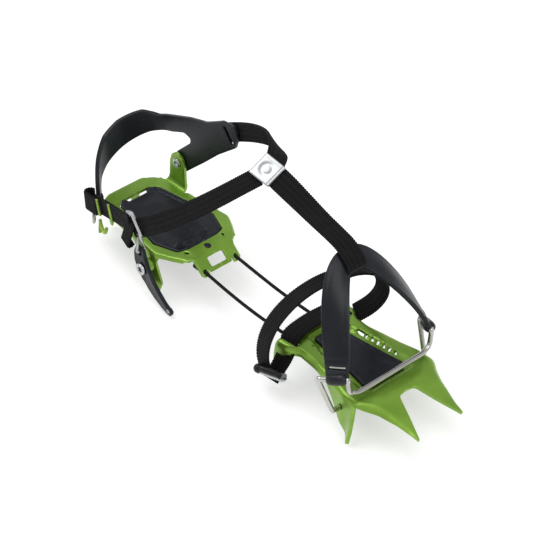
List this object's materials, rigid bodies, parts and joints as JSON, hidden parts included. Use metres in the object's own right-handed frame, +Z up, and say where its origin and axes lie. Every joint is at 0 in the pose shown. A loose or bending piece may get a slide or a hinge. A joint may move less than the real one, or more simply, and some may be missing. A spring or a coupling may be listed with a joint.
{
  "type": "strap-on crampon",
  "caption": "Strap-on crampon: spiked front and heel plates joined by two link cords, with a wire toe bail, moulded toe and heel harnesses, webbing straps and buckles.",
  "frame": {"origin": "centre of the boot-sole face on the front plate's anti-balling plate", "axes": "+X to the toe, +Y to the wearer's left, +Z up out of the sole face"},
  "size_m": [0.361, 0.1068, 0.152],
  "materials": {
    "anodised": "satin green anodised",
    "pad": "moulded, fine grain",
    "harness": "moulded, satin",
    "webbing": "ribbed nylon webbing",
    "steel_wire": "drawn wire",
    "slider_metal": "satin sheet",
    "buckle_plastic": "moulded",
    "cord_black": "braided",
    "cord_lime": "braided"
  },
  "bodies": {
    "front": {"front_frame": "anodised", "front_pad": "pad", "pad_studs": "slider_metal", "instep_strap": "webbing", "instep_hoop": "webbing", "link_cord_near": "cord_black", "link_cord_far": "cord_black", "cord_ferrules_front": "buckle_plastic"},
    "toe_bail": {"toe_bail": "steel_wire", "toe_harness": "harness", "toe_strap": "webbing"},
    "instep_buckle": {"instep_buckle": "buckle_plastic", "buckle_bar": "slider_metal"},
    "heel": {"heel_frame": "anodised", "heel_pad": "pad", "pad_rivet": "slider_metal", "ear_rivet": "slider_metal", "lever_rivet": "slider_metal", "cord_ferrules_heel": "buckle_plastic", "ankle_strap_near": "webbing", "ankle_strap_far": "webbing"},
    "heel_harness": {"heel_harness": "harness", "harness_keeper": "slider_metal", "tail_webbing": "webbing", "tail_ring": "steel_wire", "bar_tacks": "cord_lime", "pull_cord": "cord_lime"},
    "heel_lever": {"heel_lever": "harness", "lever_eyelet": "slider_metal", "ankle_buckle": "slider_metal"},
    "slider": {"strap_slider": "slider_metal"}
  },
  "joints": [
    {"name": "bail_swing", "type": "hinge", "parent": "front", "child": "toe_bail", "pos_m": [0.0217, 0, -0.0124], "axis": [0, 1, 0], "range_deg": [-8, 9], "deforming": ["toe_strap"]},
    {"name": "heel_fold", "type": "hinge", "parent": "front", "child": "heel", "pos_m": [-0.097, 0, -0.012], "axis": [0, 1, 0], "range_deg": [-5, 18], "deforming": ["link_cord_near", "link_cord_far", "toe_strap"]},
    {"name": "buckle_tilt", "type": "hinge", "parent": "front", "child": "instep_buckle", "pos_m": [-0.0432, -0.0391, -0.0232], "axis": [0.9072, 0.4131, -0.08], "range_deg": [-12, 20], "deforming": ["instep_hoop", "instep_strap"]},
    {"name": "harness_pivot", "type": "hinge", "parent": "heel", "child": "heel_harness", "pos_m": [-0.234, 0.036, 0.02], "axis": [0, 1, 0], "range_deg": [-8, 10], "deforming": ["ankle_strap_far", "tail_webbing", "bar_tacks", "pull_cord"]},
    {"name": "lever_swing", "type": "hinge", "parent": "heel", "child": "heel_lever", "pos_m": [-0.184, -0.043, -0.012], "axis": [0, 1, 0], "range_deg": [-6, 7], "deforming": ["ankle_strap_near"]},
    {"name": "slider_slide", "type": "slide", "parent": "heel", "child": "slider", "axis": [-0.4441, -0.8491, -0.286], "range_m": [-0.003, 0.003], "deforming": ["ankle_strap_near", "ankle_strap_far", "toe_strap"]}
  ]
}
